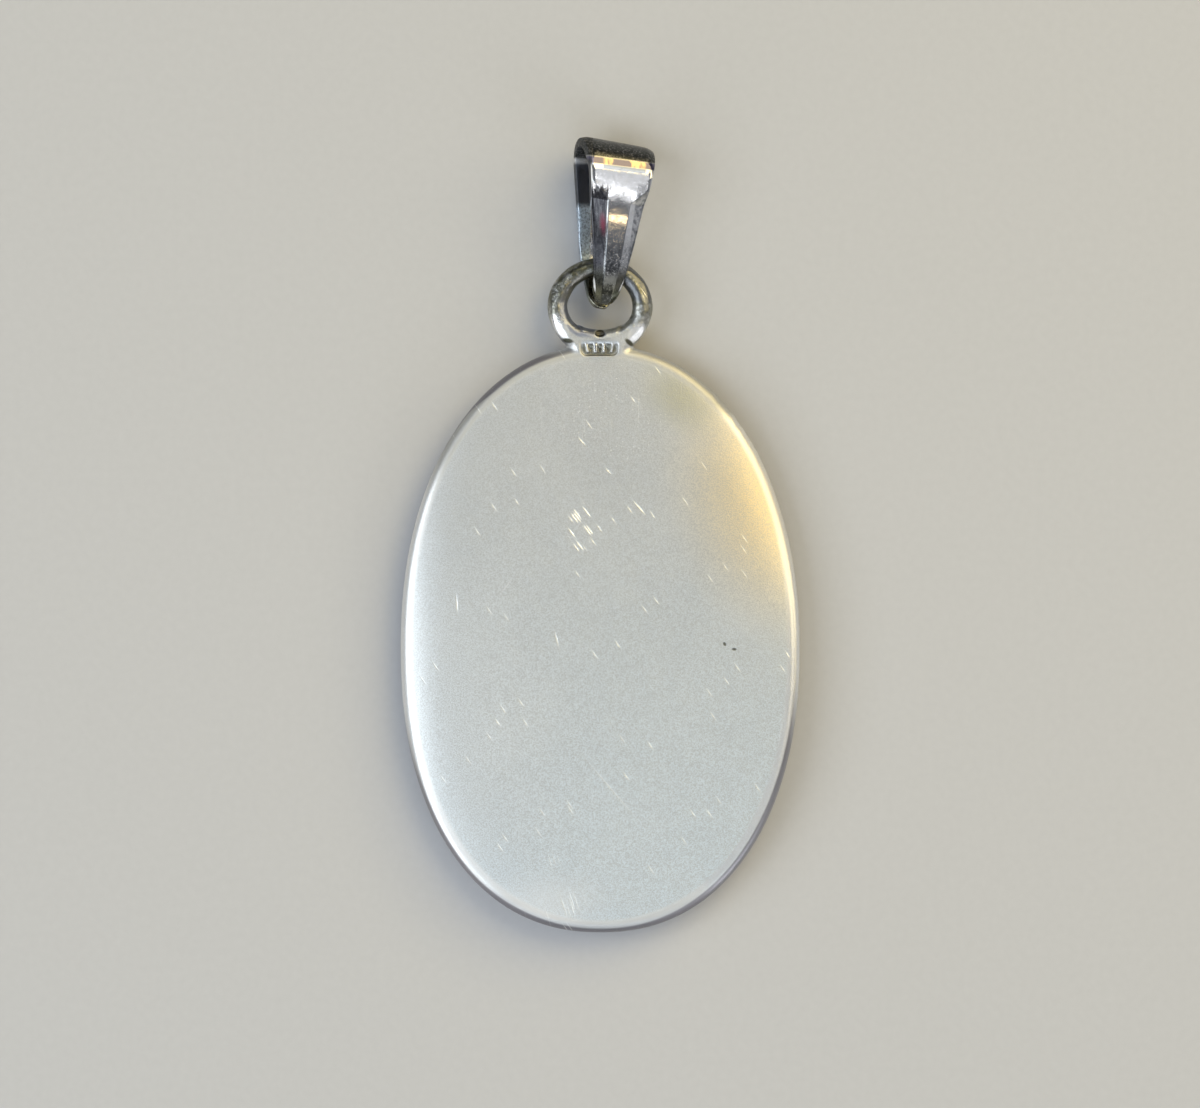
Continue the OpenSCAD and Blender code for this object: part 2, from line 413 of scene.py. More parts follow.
def surface_net(shape, grid):
    """Points and four-sided faces of the skin where shape is zero, on a grid that closes on itself.

    The grid's places are given by three arrays: round the oval, outwards, and upwards.
    Also gives the loops of points at the grid's inner end, the lower one first.
    """
    values = shape(*grid)
    places = np.stack(grid, axis=-1)
    inside = values < 0
    cells = np.array(values.shape) - 1
    corners = np.array([(i, j, k) for i in (0, 1) for j in (0, 1) for k in (0, 1)])
    filled = sum(
        inside[i : i + cells[0], j : j + cells[1], k : k + cells[2]].astype(int) for i, j, k in corners
    )
    active = np.argwhere((filled > 0) & (filled < len(corners)))
    total = np.zeros((len(active), 3))
    crossings = np.zeros((len(active), 1))
    for a in corners:
        for b in corners:
            if (b - a).min() < 0 or (b - a).sum() != 1:
                continue
            low, high = tuple((active + a).T), tuple((active + b).T)
            crossed = (values[low] < 0) != (values[high] < 0)
            t = np.where(crossed, values[low] / np.where(crossed, values[low] - values[high], 1), 0)
            between = places[low] + t[:, None] * (places[high] - places[low])
            total += np.where(crossed[:, None], between, 0)
            crossings += crossed[:, None]
    points = total / crossings
    ids = np.full(cells, -1)
    ids[tuple(active.T)] = np.arange(len(active))
    faces = []
    ones = np.eye(3, dtype=int)
    for axis in range(3):
        b, c = (axis + 1) % 3, (axis + 2) % 3
        length = inside.shape[axis]
        first = np.take(inside, range(length - 1), axis)
        second = np.take(inside, range(1, length), axis)
        spots = np.argwhere(first != second)
        spots = spots[(spots[:, 0] < cells[0]) & ((axis == 1) | (spots[:, 1] > 0))]
        quad = [spots - ones[b] - ones[c], spots - ones[c], spots, spots - ones[b]]
        quad = np.stack([ids[tuple(q.T)] for q in quad], axis=1)
        outward = first[tuple(spots.T)]
        faces.append(np.where(outward[:, None], quad[:, ::-1], quad))
    levels = np.flatnonzero(ids[0, 0] >= 0)
    loops = [ids[:, 0, level] for level in (levels[0], levels[-1])]
    return points, np.concatenate(faces).tolist(), loops


def settle(shape, points, rounds=5, probe=0.004, longest=0.04, least_slope=0.05):
    """Moves points onto the skin of a shape."""
    for _ in range(rounds):
        value = shape(*points.T)
        rises = [shape(*(points + step).T) - shape(*(points - step).T) for step in np.eye(3) * probe]
        slope = np.stack(rises, axis=1) / (2 * probe)
        shift = value[:, None] * slope / np.maximum((slope**2).sum(axis=1), least_slope)[:, None]
        length = np.maximum(np.linalg.norm(shift, axis=1, keepdims=True), 1e-9)
        points = points - shift * np.minimum(1, longest / length)
    return points


def steps(*stretches):
    """Places along one axis, from stretches of start, end and spacing that follow each other."""
    places = []
    for start, end, spacing in stretches:
        count = round((end - start) / spacing)
        places.append(np.linspace(start, end, count, endpoint=False))
    places.append([stretches[-1][1]])
    return np.concatenate(places)


# The grid for plate and ring: points round the oval, closer by the ring and the nick, steps outwards
# as shares of the oval's size, and steps upwards
OUTLINE_COUNT = 560
OUTLINE_TRIALS = 20001
WIDE_SPACING = 0.18
SPACING_GAIN = 0.12
BY_RING_X = (2.9, 4.4)
BY_NICK_R = (0.3, 0.9)
SIZE_STEPS = ((0.5, 0.93, 0.022), (0.93, 1.0006, 0.0042), (1.0006, 1.316, 0.0042))
HEIGHT_STEPS = ((-0.11, 0.94, 0.105), (0.94, 1.9, 0.08), (1.9, 2.38, 0.04))
# The loops that fill the flat middle of each face, as shares of the grid's innermost loop
MIDDLE_SIZES = (0.72, 0.45, 0.2)


def outline_points():
    """Points round the oval from its waist's middle, close together by the ring and the nick."""
    turn = np.linspace(0, 2 * math.pi, OUTLINE_TRIALS)
    upper = np.sin(turn) >= 0
    power, reach = half_oval(upper)
    x = HALF_W * np.sign(np.cos(turn)) * np.abs(np.cos(turn)) ** (2 / power)
    y = reach * np.sign(np.sin(turn)) * np.abs(np.sin(turn)) ** (2 / power)
    by_ring = upper * (1 - smooth_step(np.abs(x), *BY_RING_X))
    by_nick = 1 - smooth_step(np.hypot(x - NICK[0], y - WAIST_DROP - NICK[1]), *BY_NICK_R)
    spacing = WIDE_SPACING - SPACING_GAIN * np.maximum(by_ring, by_nick)
    run = np.hypot(np.diff(x), np.diff(y)) / spacing[1:]
    share = np.concatenate([[0], np.cumsum(run)]) / run.sum()
    wanted = np.linspace(0, 1, OUTLINE_COUNT + 1)
    return np.interp(wanted, share, x), np.interp(wanted, share, y)


def close_middle(points, faces, loop, downwards):
    """Fills the space inside a loop with loops of ever fewer points round a middle point."""

    def add_face(*corners):
        faces.append(corners[::-1] if downwards else corners)

    z = points[loop[0], 2]
    for size in MIDDLE_SIZES:
        fewer = points[loop[::2]] * (1, 1, 0)
        fewer = (fewer + (0, WAIST_DROP, 0)) * size - (0, WAIST_DROP, 0) + (0, 0, z)
        inner = np.arange(len(points), len(points) + len(fewer))
        points = np.concatenate([points, fewer])
        for i in range(len(inner)):
            a, b, c = loop[2 * i], loop[2 * i + 1], loop[(2 * i + 2) % len(loop)]
            d, e = inner[i], inner[(i + 1) % len(inner)]
            add_face(a, b, d)
            add_face(b, e, d)
            add_face(b, c, e)
        loop = inner
    points = np.concatenate([points, [(0, -WAIST_DROP, z)]])
    for a, b in zip(loop, np.roll(loop, -1)):
        add_face(a, b, len(points) - 1)
    return points


def make_piece(name, points, faces, material):
    mesh = bpy.data.meshes.new(name)
    mesh.from_pydata((np.asarray(points) * MM).tolist(), [], [list(map(int, f)) for f in faces])
    mesh.polygons.foreach_set("use_smooth", np.ones(len(mesh.polygons), bool))
    mesh.materials.append(material)
    mesh.update()
    return new_object(name, mesh)


def make_pendant_metal(material):
    outline_x, outline_y = outline_points()
    x, size, height = np.meshgrid(outline_x, steps(*SIZE_STEPS), steps(*HEIGHT_STEPS), indexing="ij")
    grid = (x * size, outline_y[:, None, None] * size - WAIST_DROP, height)
    points, faces, (low_loop, high_loop) = surface_net(pendant_shape, grid)
    points = settle(pendant_shape, points)
    points = close_middle(points, faces, low_loop, True)
    points = close_middle(points, faces, high_loop, False)
    points[:, 2] = np.maximum(points[:, 2], 0)
    return make_piece("pendant_metal", points, faces, material)


# Bail


def leg_height(u, bulge):
    """Height of the outer face above the middle plane, lower from the fold on by a bulge's curve."""
    full = BAIL_T + (FOLD_R - BAIL_T) * np.sin(np.pi / 2 * np.clip(u / LEG_RUN, 0, 1))
    blend = LEAST_BLEND + LEG_BLEND * smooth_step(FOLD_U - u, *LEG_BLEND_FROM)
    return smooth_min(full, FOLD_R - bulge * (FOLD_U - u) ** 2, blend)


def strip_width(u):
    return BAIL_TIP_W + WIDTH_SLOPE * u


def bail_line():
    """Points of the strip's outer face seen from its side: up one leg, round the fold, down the other."""
    share = np.linspace(0, 1, LEG_POINTS) ** CROWDING
    upper_u = UPPER_TIP_U + (FOLD_U - UPPER_TIP_U) * share
    lower_u = (FOLD_U * share)[::-1]
    turn = np.linspace(0, np.pi, FOLD_POINTS + 2)[1:-1]
    fold_r = FOLD_R - WORN_AWAY
    upper = np.stack([upper_u, leg_height(upper_u, UPPER_BULGE) - WORN_AWAY], axis=1)
    fold = np.stack([FOLD_U + fold_r * np.sin(turn), fold_r * np.cos(turn)], axis=1)
    lower = np.stack([lower_u, WORN_AWAY - leg_height(lower_u, 0.0)], axis=1)
    return np.concatenate([upper, fold, lower])


def strip_section(half_w, thick, facet_w, facet_drop, ground, worn, bend):
    """Points round the strip's section: how far across, and how far in from the outer face.

    The outer face has worn round sides where worn is 1, and a flat facet along each side,
    as wide as ground's share of facet_w.
    """
    edge_r = min(EDGE_R, EDGE_R_SHARE * thick)
    ridge = half_w - max(facet_w * ground, edge_r + RIDGE_ROOM)

    def outer(q):
        edge_w = EDGE_W + WEAR_W * worn
        by_edge = np.clip(q - half_w + edge_w, 0, 1) / edge_w
        edge = (EDGE_DROP + WEAR_DROP * worn) * by_edge**EDGE_CURVE
        crown = (CROWN + WEAR_CROWN * worn) * (q / half_w) ** 2 + FACE_SINK * (1 - worn)
        facet = facet_drop * np.maximum(q - half_w + facet_w * ground, 0) / facet_w
        return (edge + crown) * (1 - ground) + FACE_SINK * ground + facet

    def inner(q):
        return thick + bend * ground * (q / half_w) ** 3

    across = np.concatenate([
        np.linspace(0, ridge - RIDGE_WIDE, FACE_POINTS),
        [ridge - RIDGE_NEAR, ridge + RIDGE_NEAR],
        np.linspace(ridge + RIDGE_WIDE, half_w - edge_r, FACET_POINTS),
    ])
    half = [(q, outer(q)) for q in across]
    edge_depth = outer(half_w - edge_r)
    for turn in np.radians(EDGE_TURNS):
        half.append((half_w - edge_r * (1 - np.sin(turn)), edge_depth + edge_r * (1 - np.cos(turn))))
    low = max(inner(half_w), edge_depth + edge_r + INNER_EDGE_R + EDGE_WALL)
    for turn in np.radians(INNER_TURNS):
        half.append((half_w - INNER_EDGE_R * (1 - np.cos(turn)), low - INNER_EDGE_R * (1 - np.sin(turn))))
    for q in np.linspace(half_w - INNER_EDGE_R, 0, INNER_POINTS)[1:]:
        half.append((q, inner(q) + (low - inner(half_w)) * (q / half_w) ** 6))
    right = np.array(half)
    left = right[::-1][1:-1] * (-1, 1)
    return np.concatenate([right, left])


def round_end(run, reach):
    """Share of the full size at a run from an end that is round over its reach."""
    return math.sqrt(1 - (1 - min(run / reach, 1)) ** 2)


def strip_sections():
    """Sections all along the strip, as places across, along u and up from its middle plane."""
    line = bail_line()
    ahead = np.gradient(line, axis=0)
    inward = np.stack([ahead[:, 1], -ahead[:, 0]], axis=1)
    inward /= np.linalg.norm(inward, axis=1, keepdims=True)
    sections = []
    for i, ((u, height), (in_u, in_height)) in enumerate(zip(line, inward)):
        is_upper = i < len(line) / 2
        run = max(u - UPPER_TIP_U if is_upper else u, 0)
        half_w = strip_width(u) / 2 * max(round_end(run, TIP_R), TIP_LEAST)
        full = BAIL_T + (BAIL_FOLD_T - BAIL_T) * smooth_step(u, *THICKENS)
        thick = full * max(round_end(run, TIP_EDGE_R), TIP_EDGE_LEAST)
        share, slope, bend = UPPER_FACET if is_upper else LOWER_FACET
        ground = min(max((FOLD_U - u - FACET_END) / FACET_FADE, 0), 1)
        worn = smooth_step(u - FOLD_U, *WEAR_FROM)
        facet_w = share * 2 * half_w * FACET_FIT
        facet_drop = min(slope * facet_w, FACET_DEEPEST * thick)
        section = strip_section(half_w, thick, facet_w, facet_drop, ground, worn, bend * min(half_w, 1))
        depth = section[:, 1] + (full - thick) * TIP_SINK
        points = np.stack([section[:, 0], u + in_u * depth, height + in_height * depth], axis=1)
        points[:, 1] -= math.tan(FOLD_SKEW) * points[:, 0]
        sections.append(points)
    return sections


def bail_place():
    """Where the bail hangs on the ring's wire, with its lower leg just above the floor."""
    pitch = math.atan(WIDTH_SLOPE / 2 * math.sin(BAIL_ROLL))
    seat_half_w = strip_width(WIRE_SEAT) / 2
    edge_reach = (FOLD_R - BEVEL_H) * math.cos(BAIL_ROLL) + seat_half_w * math.sin(BAIL_ROLL)
    face_reach = FOLD_R * math.cos(BAIL_ROLL) + (seat_half_w - BEVEL_W) * math.sin(BAIL_ROLL)
    seat_z = REST_GAP + max(edge_reach, face_reach) * math.cos(pitch)
    seat_y = RING_MID_Y + SEAT_HALF_Y * math.sqrt(1 - (BAIL_SHIFT / RING_HALF_X) ** 2)
    return (
        Matrix.Translation((BAIL_SHIFT, seat_y, seat_z))
        @ Matrix.Rotation(-BAIL_LEAN, 4, "Z")
        @ Matrix.Rotation(pitch, 4, "X")
        @ Matrix.Rotation(BAIL_ROLL, 4, "Y")
        @ Matrix.Translation((0, -WIRE_SEAT, 0))
    )


def make_bail(material):
    sections = strip_sections()
    around = len(sections[0])
    points = np.concatenate(sections)
    side = np.repeat(np.where(np.arange(len(sections)) < len(sections) / 2, 1, -1), around)
    kept_apart = side * np.maximum(side * points[:, 2], JOINED_GAP)
    points[:, 2] = np.where(points[:, 1] < JOINED_U, kept_apart, points[:, 2])
    faces = []
    for low in range(0, len(points) - around, around):
        high = low + around
        for i in range(around):
            j = (i + 1) % around
            faces.append((low + i, low + j, high + j, high + i))
    faces.append(tuple(range(around))[::-1])
    faces.append(tuple(range(len(points) - around, len(points))))
    place = np.array(bail_place())
    points = points @ place[:3, :3].T + place[:3, 3]
    return make_piece("folded_bail", points, faces, material)


# Materials


class Nodes:
    """Short calls for building one material's nodes, which know where a point is in millimetres."""

    def __init__(self, name):
        self.material = bpy.data.materials.new(name)
        self.material.use_nodes = True
        self.tree = self.material.node_tree
        self.tree.nodes.clear()
        coords = self.add("TexCoord")
        scale = self.add("VectorMath", operation="SCALE")
        scale.inputs["Scale"].default_value = 1 / MM
        self.feed(scale.inputs[0], coords.outputs["Object"])
        self.place = scale.outputs[0]
        split = self.add("SeparateXYZ")
        self.feed(split.inputs[0], self.place)
        self.x, self.y, self.z = split.outputs

    def add(self, kind, **settings):
        node = self.tree.nodes.new("ShaderNode" + kind)
        for key, value in settings.items():
            setattr(node, key, value)
        return node

    def feed(self, socket, value):
        if isinstance(value, tuple):
            socket.default_value = (*value, 1)
        elif isinstance(value, (int, float)):
            socket.default_value = value
        else:
            self.tree.links.new(value, socket)

    def math(self, operation, a, b=None):
        node = self.add("Math", operation=operation)
        self.feed(node.inputs[0], a)
        if b is not None:
            self.feed(node.inputs[1], b)
        return node.outputs[0]

    def chain(self, operation, first, others):
        for other in others:
            first = self.math(operation, first, other)
        return first

    def total(self, first, *others):
        return self.chain("ADD", first, others)

    def product(self, first, *others):
        return self.chain("MULTIPLY", first, others)

    def most(self, first, *others):
        return self.chain("MAXIMUM", first, others)

    def inverse(self, value):
        return self.math("SUBTRACT", 1.0, value)

    def lift(self, value, base, gain):
        """A base, and as much as gain more where value is 1."""
        return self.total(self.product(value, gain), base)

    def tilt(self, value, other, share):
        """A place along one axis, tilted by a share of another."""
        return self.total(value, self.product(other, share))

    def span(self, value, low, high, to_low=0.0, to_high=1.0):
        """Leads softly from to_low at low and below it to to_high at high and above it."""
        node = self.add("MapRange", interpolation_type="SMOOTHSTEP")
        for name, number in (("From Min", low), ("From Max", high), ("To Min", to_low), ("To Max", to_high)):
            node.inputs[name].default_value = number
        self.feed(node.inputs["Value"], value)
        return node.outputs["Result"]

    def above(self, value, low, high):
        return self.span(value, low, high)

    def below(self, value, low, high):
        return self.span(value, low, high, 1, 0)

    def mapping(self, kind, turn, scale, location=(0, 0, 0)):
        """A point's place, turned and scaled for a pattern."""
        node = self.add("Mapping", vector_type=kind)
        node.inputs["Location"].default_value = location
        node.inputs["Rotation"].default_value = (0, 0, math.radians(turn))
        node.inputs["Scale"].default_value = scale
        self.feed(node.inputs["Vector"], self.place)
        return node.outputs[0]

    def noise(self, scale, detail=2.0, roughness=0.5, stretch=(1, 1, 1), turn=0.0):
        """Cloudy values between 0 and 1, with scale clouds to the millimetre."""
        node = self.add("TexNoise")
        node.inputs["Scale"].default_value = 1
        node.inputs["Detail"].default_value = detail
        node.inputs["Roughness"].default_value = roughness
        self.feed(node.inputs["Vector"], self.mapping("POINT", turn, [scale * s for s in stretch]))
        return node.outputs["Fac"]

    def dots(self, scale, reach, share, stretch=(1, 1, 1), turn=0.0):
        """1 in the middle of dots strewn at random, of which only a share is kept."""
        node = self.add("TexVoronoi", voronoi_dimensions="2D")
        node.inputs["Scale"].default_value = 1
        self.feed(node.inputs["Vector"], self.mapping("TEXTURE", turn, [s / scale for s in stretch]))
        split = self.add("SeparateColor")
        self.feed(split.inputs[0], node.outputs["Color"])
        kept = self.math("LESS_THAN", split.outputs[0], share)
        return self.product(self.below(node.outputs["Distance"], 0, reach), kept)

    def near(self, x, y, half_w, half_h, turn=0.0):
        """1 at a spot seen from above, falling softly to 0 at the edge of an oval round it."""
        length = self.add("VectorMath", operation="LENGTH")
        self.feed(length.inputs[0], self.mapping("TEXTURE", turn, (half_w, half_h, 1e6), (x, y, 0)))
        return self.below(length.outputs["Value"], 0, 1)

    def lines(self, strokes, half_w):
        """1 along short straight strokes seen from above, given by their ends and strength."""
        spots = []
        for x0, y0, x1, y1, strength in strokes:
            half_l = math.hypot(x1 - x0, y1 - y0) / 2 + half_w
            turn = math.degrees(math.atan2(y1 - y0, x1 - x0))
            spot = self.near((x0 + x1) / 2, (y0 + y1) / 2, half_l, half_w, turn)
            spots.append(self.product(spot, strength))
        return self.most(*spots)

    def mix(self, factor, a, b):
        node = self.add("Mix", data_type="RGBA")
        for name, value in (("Factor_Float", factor), ("A_Color", a), ("B_Color", b)):
            self.feed(next(s for s in node.inputs if s.identifier == name), value)
        return next(s for s in node.outputs if s.identifier == "Result_Color")

    def coats(self, colour, *layers):
        """Lays colours over the first one by one, each by the product of the shares after it."""
        for layer, *shares in layers:
            colour = self.mix(self.product(*shares), colour, layer)
        return colour

    def end(self, shader):
        output = self.add("OutputMaterial")
        self.feed(output.inputs["Surface"], shader.outputs[0])
        return self.material

    def metal(self, colour, roughness, height):
        """Ends the material as bare metal with these colours, roughness and relief in millimetres."""
        bump = self.add("Bump")
        bump.inputs["Strength"].default_value = 1
        bump.inputs["Distance"].default_value = MM
        self.feed(bump.inputs["Height"], height)
        shader = self.add("BsdfPrincipled")
        shader.inputs["Metallic"].default_value = 1
        self.feed(shader.inputs["Base Color"], colour)
        self.feed(shader.inputs["Roughness"], roughness)
        self.feed(shader.inputs["Normal"], bump.outputs[0])
        return self.end(shader)


# Satin silver of the plate and ring

WHITE = (1.0, 1.0, 1.0)

# Colours of the back, its rim and its wall, with painted reflection, highlights and shade among them
BACK_LOW = (0.845, 0.935, 1.0)
BACK_HIGH = (0.72, 0.745, 0.77)
BACK_CLOUD = (0.75, 0.765, 0.775)
BACK_COOL = (0.90, 0.93, 0.955)
# A painted reflection of the warm lamp on the back's upper right
BACK_WARM_REFLECTION = (0.97, 0.80, 0.48)
BACK_OLIVE = (0.60, 0.59, 0.45)
BACK_STAIN = (0.55, 0.58, 0.54)
BACK_GRAIN = (0.54, 0.55, 0.545)
# A painted highlight along the rim, painted shade over it at the top, and a dimmer bluish painted highlight
# at the bottom
RIM_HIGHLIGHT = (0.97, 0.975, 0.98)
RIM_TOP_SHADE = (0.40, 0.405, 0.38)
RIM_LOW_HIGHLIGHT = (0.62, 0.64, 0.67)
# Painted shade on the side wall
WALL_SHADE = (0.27, 0.26, 0.30)

# Colours of the ring, the sunk field and the pits, with painted shade and highlights on the ring and in its
# crevices
RING_MOTTLE = (0.33, 0.33, 0.295)
# Tarnish on the ring's upper part, darkened further as painted shade
RING_TARNISH_AND_SHADE = (0.13, 0.13, 0.09)
RING_PATINA = (0.12, 0.12, 0.095)
# Painted shade on the ring's inner left side, bluish so the warm lamps look grey there
RING_HOLE_SHADE_LOW = (0.30, 0.33, 0.44)
RING_HOLE_SHADE_HIGH = (0.28, 0.28, 0.26)
# Painted shade on the ring's upper right flank
RING_SHOULDER_SHADE = (0.17, 0.18, 0.20)
# Painted highlights on the ring's polished lower flanks
RING_HIGHLIGHT = (0.98, 0.99, 1.0)
# Painted shade on the ring's sides below its top
RING_SIDE_SHADE = (0.22, 0.22, 0.17)
FIELD_DARK = (0.17, 0.165, 0.12)
SMALL_PITS = (0.10, 0.10, 0.08)
PIT_DARK = (0.06, 0.055, 0.04)
# Painted shade in the crevices beside the solder
CREVICE_SHADE = (0.09, 0.09, 0.065)

# Spots seen from above: middle, half width, half height and turn in degrees
COOL_SPOT = (-7, -4, 9, 14)
# Where the warm lamp's reflection is painted
WARM_REFLECTION_SPOT = (8.6, 7.0, 6.2, 8.5, 20)
OLIVE_SPOT = (4.1, 12.1, 3.0, 2.1, -35)
STAIN_SPOT = (2.7, 13.55, 1.1, 0.35, -18)
HAZE_SPOT = (-2.6, -13.1, 4.0, 1.9)
TOP_MIDDLE_SPOT = (0.6, 11, 5.5, 5)
CLUSTER_SPOT = (-0.95, 5.6, 1.0, 1.9)
LOW_LEFT_SPOT = (-2.4, -12.6, 3.0, 3.0)
FIELD_SPOT = (FIELD_X, FIELD_Y, 1.35, 0.75)
PIT_SPOT = (PIT[0] - 0.01, PIT[1] + 0.01, 0.36, 0.27)
# Where shade is painted on the ring's upper right flank
SHOULDER_SHADE_SPOT = (1.95, 17.75, 1.0, 1.6, 30)
# Where highlights are painted on the ring's polished lower flanks
POLISH_AND_HIGHLIGHT_SPOTS = ((1.82, 15.35, 0.8, 0.5, 50), (-2.0, 15.65, 1.0, 0.5, -58))

# Marks strewn at random: how many to the millimetre, reach, share kept, stretch and turn in degrees
CLUSTER_MARKS = (1.0, 0.33, 0.85, (1.6, 0.14, 1), -53)
LOW_LEFT_MARKS = (1.0, 0.32, 0.22, (3.0, 0.09, 1), -72)
FLECKS = (3.7, 0.17, 0.3)
STRAY_MARKS = (0.55, 0.09, 0.36, (2.6, 0.28, 1), -55)
# Fine lines: how many to the millimetre, detail, roughness, stretch and turn in degrees
HATCHING = (6, 1, 0.5, (1, 0.06, 1))
HATCHING_TURNS = (38, -41)
HAIRS = (9, 1, 0.5, (1, 0.035, 1), 24)

# The clearest marks: the ends of each line, and how strong it is
SCRATCHES = (
    (-1.14, 10.18, -0.63, 9.60, 0.8),
    (0.26, 8.61, 0.61, 8.20, 0.8),
    (1.60, 7.02, 2.37, 6.13, 1.0),
    (-7.21, 2.43, -7.11, 1.17, 0.8),
    (-5.10, 2.11, -4.27, 3.16, 0.5),
    (-2.33, 0.64, -1.99, -0.62, 0.72),
    (-1.28, -5.36, 2.26, -9.47, 0.45),
    (-1.15, 15.44, -0.42, 15.30, 0.8),
)
SCRATCH_HALF_W = 0.055
DARK_PITS = (
    (6.20, -0.20, 6.26, -0.30, 1.0),
    (6.62, -0.50, 6.80, -0.52, 0.9),
)
DARK_PIT_HALF_W = 0.12
# Crevices beside the solder, painted with shade
CREVICES = (
    (-1.90, 14.98, -1.32, 14.86, 0.9),
    (1.28, 14.98, 1.64, 14.68, 0.9),
)
CREVICE_HALF_W = 0.19


def satin_grain(n):
    """Grain, clouds and fine lines, all between 0 and 1."""
    return SimpleNamespace(
        coarse=n.noise(14, detail=2),
        fine=n.noise(30, detail=1),
        cloud=n.noise(0.3, detail=3),
        waves=n.noise(0.7, detail=2),
        mottle=n.noise(3.4, detail=4),
        patina=n.noise(4.5, 3, 0.6),
        hatch=n.most(*(n.noise(*HATCHING, turn) for turn in HATCHING_TURNS)),
        hairs=n.above(n.noise(*HAIRS), 0.68, 0.78),
    )


def satin_inset(n):
    """How far a point lies inside the oval's edge, as oval_inset says for the mesh."""
    across = n.product(n.math("ABSOLUTE", n.x), 1 / HALF_W)
    from_waist = n.total(n.y, WAIST_DROP)
    along = n.most(n.product(from_waist, 1 / UPPER_REACH), n.product(from_waist, -1 / LOWER_REACH))
    size = n.total(n.math("POWER", across, UPPER_POWER), n.math("POWER", along, UPPER_POWER), TINY)
    size = n.math("POWER", size, 2 / (UPPER_POWER + LOWER_POWER))
    from_middle = n.math("SQRT", n.total(n.product(n.x, n.x), n.product(from_waist, from_waist)))
    return n.product(from_middle, n.math("SUBTRACT", n.math("DIVIDE", 1.0, size), 1.0))


def satin_rim(n):
    """The painted highlight along the back's rim, the stretches of it painted darker at the top and dimmer at
    the bottom, and painted shade on the side wall.
    """
    inset = satin_inset(n)
    below_foot = n.below(n.y, 14.0, 14.6)
    rim = n.product(n.below(inset, 0.45, 0.7), below_foot)
    low_right = n.above(n.tilt(n.x, n.y, -0.8), 3, 9)
    top = n.most(n.above(n.y, 10.6, 11.8), n.product(n.above(n.y, 6.5, 9.5), n.below(n.x, -1, 0)))
    worn_left = n.product(n.below(n.x, -4, -2), n.above(n.y, -8, -3), n.below(n.y, 8, 12))
    worn_right = n.above(n.tilt(n.x, n.y, 0.6), 6, 9)
    worn = n.most(worn_left, worn_right)
    wall_inset = n.total(inset, n.product(low_right, -0.13), n.product(n.above(n.y, 11.2, 12.5), -0.22))
    wall = n.product(n.below(wall_inset, 0.02, 0.12), below_foot, n.inverse(worn))
    # Painted shade on the low sides beside the foot
    side = n.product(n.below(n.tilt(n.z, worn, 0.38), 1.8, 2.0), n.below(n.y, 14.0, 15.4))
    return SimpleNamespace(
        all_round=rim,
        low_right=low_right,
        top=n.product(rim, top),
        low=n.product(rim, n.below(n.y, -13.3, -12.0)),
        wall=n.most(wall, side),
    )


def satin_ring(n, grain):
    """The ring, its tarnish with painted shade on top, its polished parts with painted highlights, and
    painted shade on its inner side, a flank and its sides.
    """
    ragged = n.span(n.noise(3), 0.2, 0.8, -0.25, 0.25)
    ring = n.above(n.total(n.y, ragged), 15.1, 16.4)
    across = n.product(n.x, 1 / RING_HALF_X)
    along = n.product(n.total(n.y, -RING_MID_Y), 1 / RING_HALF_Y)
    size = n.math("SQRT", n.total(n.product(across, across), n.product(along, along)))
    stripe = n.product(n.above(size, 0.98, 1.01), n.below(size, 1.05, 1.08))
    shoulder_shade = n.above(n.near(*SHOULDER_SHADE_SPOT), 0.1, 0.4)
    polished = n.most(*(n.near(*spot) for spot in POLISH_AND_HIGHLIGHT_SPOTS))
    return SimpleNamespace(
        all_round=ring,
        upper=n.product(ring, n.above(n.y, 15.8, 18.2)),
        patina=n.product(n.above(grain.patina, 0.44, 0.6), n.above(n.y, 15.5, 16.4)),
        hole_left_shade=n.product(n.above(n.y, 14.95, 15.25), n.below(size, 0.92, 0.98), n.below(n.x, -0.35, -0.1)),
        shoulder_shade=n.product(shoulder_shade, n.inverse(stripe)),
        polished=n.above(polished, 0.1, 0.5),
        side_shade=n.product(ring, n.below(n.z, 1.55, 2.15)),
    )


def satin_marks(n, grain, top_middle):
    """Bright scratches and flecks on top, dark pits, and the crevices beside the solder, painted with shade.
    """
    cluster = n.product(n.above(n.near(*CLUSTER_SPOT), 0.1, 0.5), n.dots(*CLUSTER_MARKS))
    low_left = n.product(n.above(n.near(*LOW_LEFT_SPOT), 0.1, 0.6), n.dots(*LOW_LEFT_MARKS), 0.4)
    bright = n.most(
        n.lines(SCRATCHES, SCRATCH_HALF_W),
        cluster,
        low_left,
        n.product(n.dots(*FLECKS), n.lift(top_middle, 0.10, 0.45)),
        n.product(n.dots(*STRAY_MARKS), 0.6),
        n.product(grain.hairs, n.lift(top_middle, 0.04, 0.25)),
    )
    return SimpleNamespace(
        bright=n.product(bright, n.above(n.z, 1.9, 2.0)),
        dark=n.lines(DARK_PITS, DARK_PIT_HALF_W),
        pit=n.above(n.near(*PIT_SPOT), 0.12, 0.4),
        crevices=n.above(n.lines(CREVICES, CREVICE_HALF_W), 0.05, 0.6),
    )


